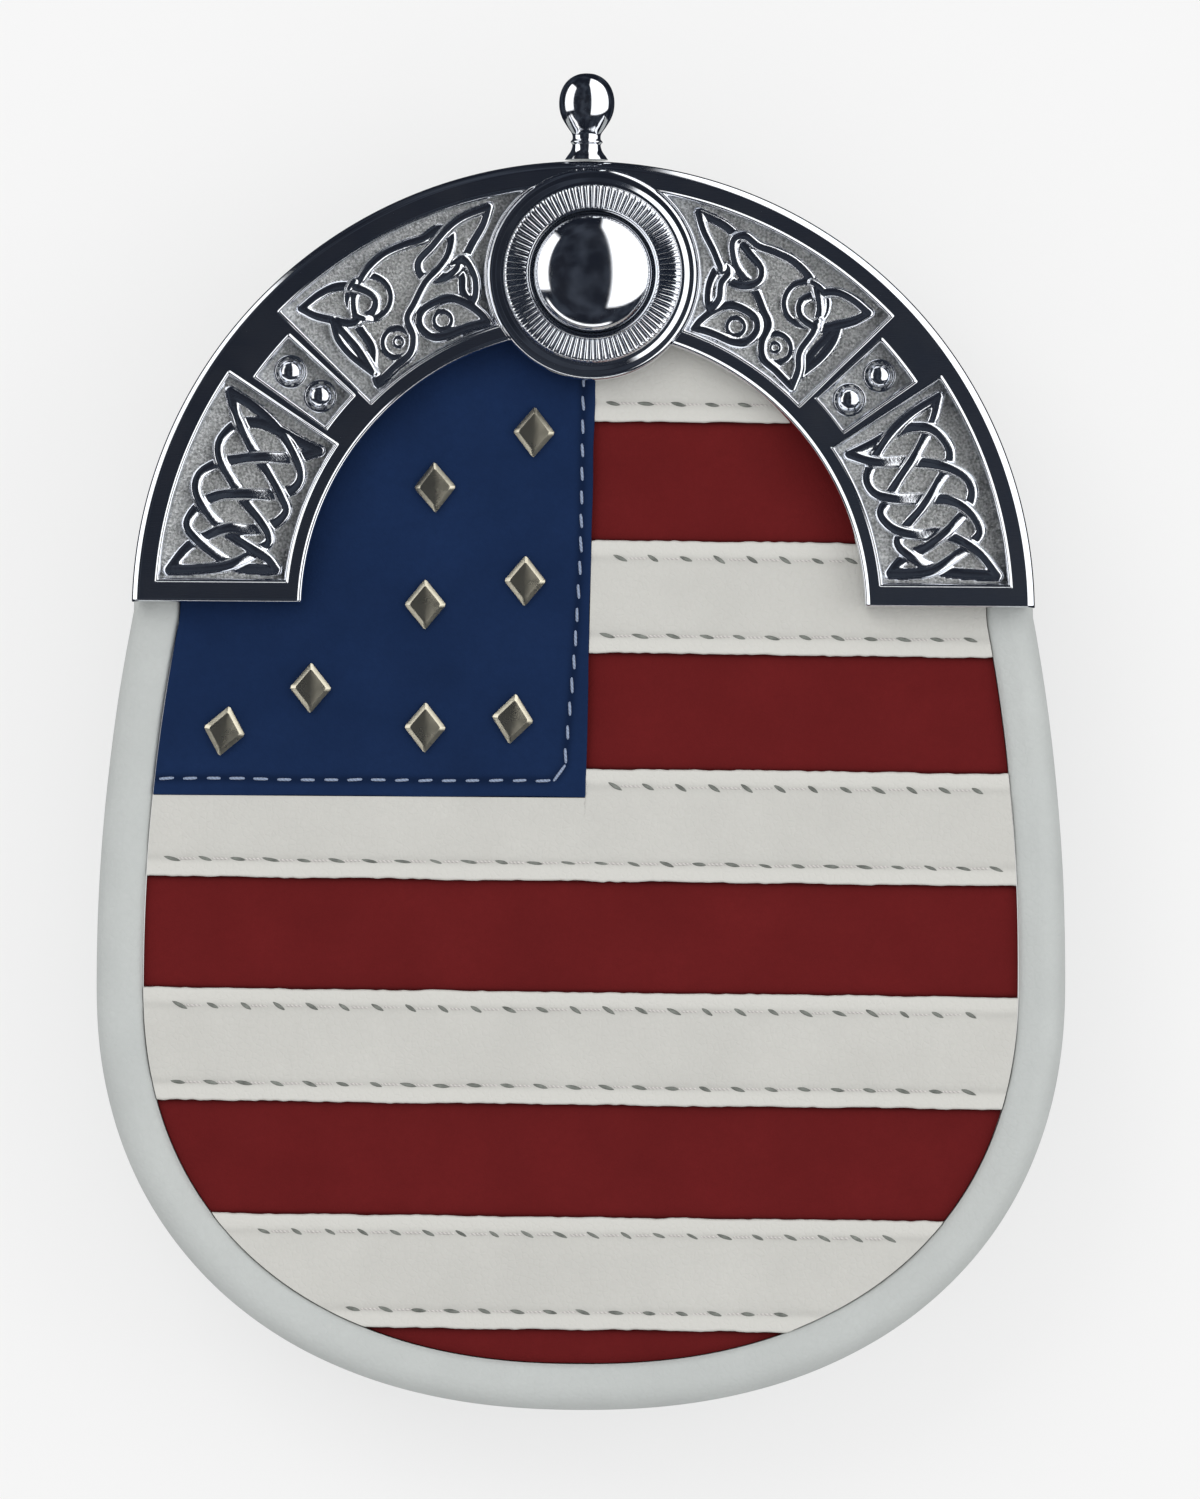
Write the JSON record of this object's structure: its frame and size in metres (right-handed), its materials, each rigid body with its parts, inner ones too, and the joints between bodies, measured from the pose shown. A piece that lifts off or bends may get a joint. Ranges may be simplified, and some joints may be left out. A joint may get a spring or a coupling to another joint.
{
  "type": "sporran pouch",
  "caption": "Dress sporran pouch with a cast metal cantle arch, a knob finial, a striped leather face with diamond studs, a rolled rim and rear strap loops.",
  "frame": {"origin": "middle of the outline, on the surface that the pouch lies on", "axes": "+Y from the pouch's bottom to the finial, +Z out of the front face, +X to the right as seen from the front"},
  "size_m": [0.165, 0.2274, 0.0495],
  "materials": {
    "cantle_metal": "mirror polished high points over a pitted ground",
    "boss_metal": "mirror polished",
    "stud_metal": "polished antique nickel",
    "snap_metal": "plain nickel",
    "red_leather": "fine grained, semi-matt",
    "white_leather": "fine grained, semi-matt",
    "blue_leather": "fine grained, semi-matt",
    "rim_leather": "smooth, semi-matt",
    "back_leather": "smooth, semi-matt"
  },
  "bodies": {
    "root": {"back_flap": "back_leather", "back_panel": "back_leather", "boss_dome": "boss_metal", "boss_ring": "boss_metal", "cantle": "cantle_metal", "canton": "blue_leather", "diamond_stud_1": "stud_metal", "diamond_stud_2": "stud_metal", "diamond_stud_3": "stud_metal", "diamond_stud_4": "stud_metal", "diamond_stud_5": "stud_metal", "diamond_stud_6": "stud_metal", "diamond_stud_7": "stud_metal", "diamond_stud_8": "stud_metal", "finial": "cantle_metal", "flap_snap": "snap_metal", "front_panel": "red_leather", "gusset": "rim_leather", "strap_loop_left": "back_leather", "strap_loop_right": "back_leather", "white_stripe_1": "white_leather", "white_stripe_2": "white_leather", "white_stripe_3": "white_leather", "white_stripe_4": "white_leather", "white_stripe_5": "white_leather"}
  },
  "joints": []
}
